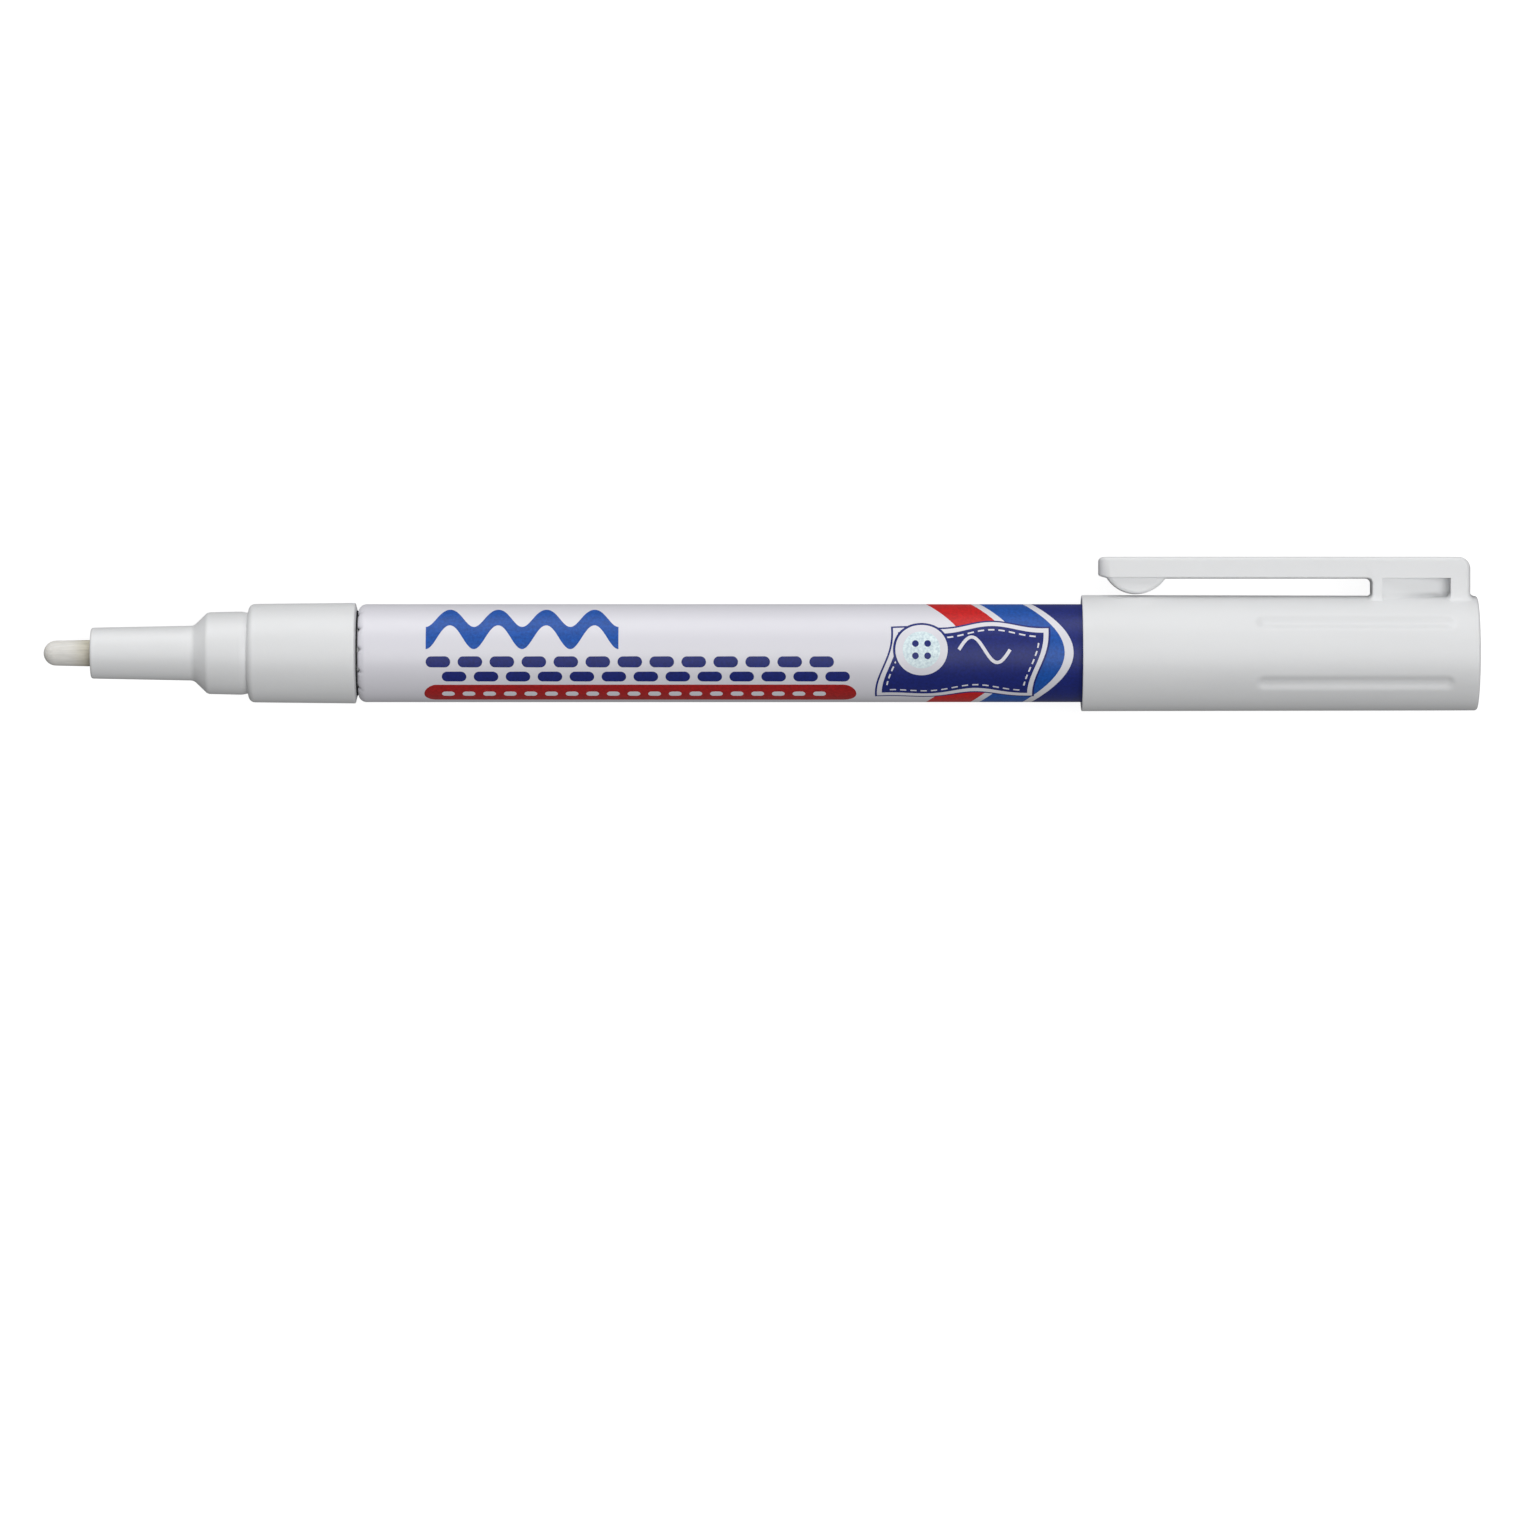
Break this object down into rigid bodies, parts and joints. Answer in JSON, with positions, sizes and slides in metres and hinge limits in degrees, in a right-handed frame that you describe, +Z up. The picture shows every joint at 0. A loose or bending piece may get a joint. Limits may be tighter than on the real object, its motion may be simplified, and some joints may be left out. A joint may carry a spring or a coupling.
{
  "type": "fabric marking pen",
  "caption": "Valve-action marker for cloth with a bullet nib, a printed aluminium can barrel and a clipped cap posted on its back end.",
  "frame": {"origin": "on the surface the pen lies on, under the middle of its box with the clip included", "axes": "+X along the pen from the nib towards the closed end of the cap, +Y from the barrel towards the clip, +Z up"},
  "size_m": [0.1464, 0.0158, 0.0119],
  "materials": {
    "white_lacquer": "gloss print lacquer over drawn aluminium",
    "white_polypropylene": "satin injection-moulded",
    "nib_fibre": "bonded fibre rod",
    "black_rubber": "matte elastomer",
    "white_acetal": "smooth moulded acetal",
    "natural_polyethylene": "waxy natural polyethylene",
    "stainless_steel": "drawn wire and ground ball",
    "navy_ink": "gloss printing ink",
    "blue_ink": "gloss printing ink",
    "red_ink": "gloss printing ink"
  },
  "bodies": {
    "barrel": {"barrel_can": "white_lacquer", "front_section": "white_polypropylene", "neck_seal": "black_rubber", "valve_housing": "white_acetal", "valve_seat_ring": "black_rubber", "spring_retainer": "white_acetal"},
    "nib": {"nib": "nib_fibre"},
    "valve_stem": {"valve_stem": "white_acetal", "valve_spring": "stainless_steel"},
    "mixing_ball": {"mixing_ball": "stainless_steel"},
    "cap": {"cap_shell": "white_polypropylene", "cap_liner": "natural_polyethylene"},
    "clip": {"clip": "white_polypropylene"}
  },
  "joints": [
    {"name": "nib_press", "type": "slide", "parent": "barrel", "child": "nib", "axis": [1, 0, 0], "range_m": [0, 0.0015], "stiffness_N_per_m": 500},
    {"name": "valve_press", "type": "slide", "parent": "barrel", "child": "valve_stem", "axis": [1, 0, 0], "range_m": [0, 0.0015], "deforming": ["valve_spring"]},
    {"name": "ball_roll", "type": "slide", "parent": "barrel", "child": "mixing_ball", "axis": [1, 0, 0], "range_m": [-0.059, 0.02]},
    {"name": "cap_pull", "type": "slide", "parent": "barrel", "child": "cap", "axis": [1, 0, 0], "range_m": [0, 0.0275]},
    {"name": "clip_flex", "type": "hinge", "parent": "cap", "child": "clip", "pos_m": [0.06239, 0.00679, 0.00592], "axis": [0, 0, -1], "range_deg": [0, 4], "stiffness_Nm_per_rad": 1.2}
  ],
  "couplings": [
    {"joint": "valve_press", "follows": "nib_press", "ratio": 1}
  ]
}
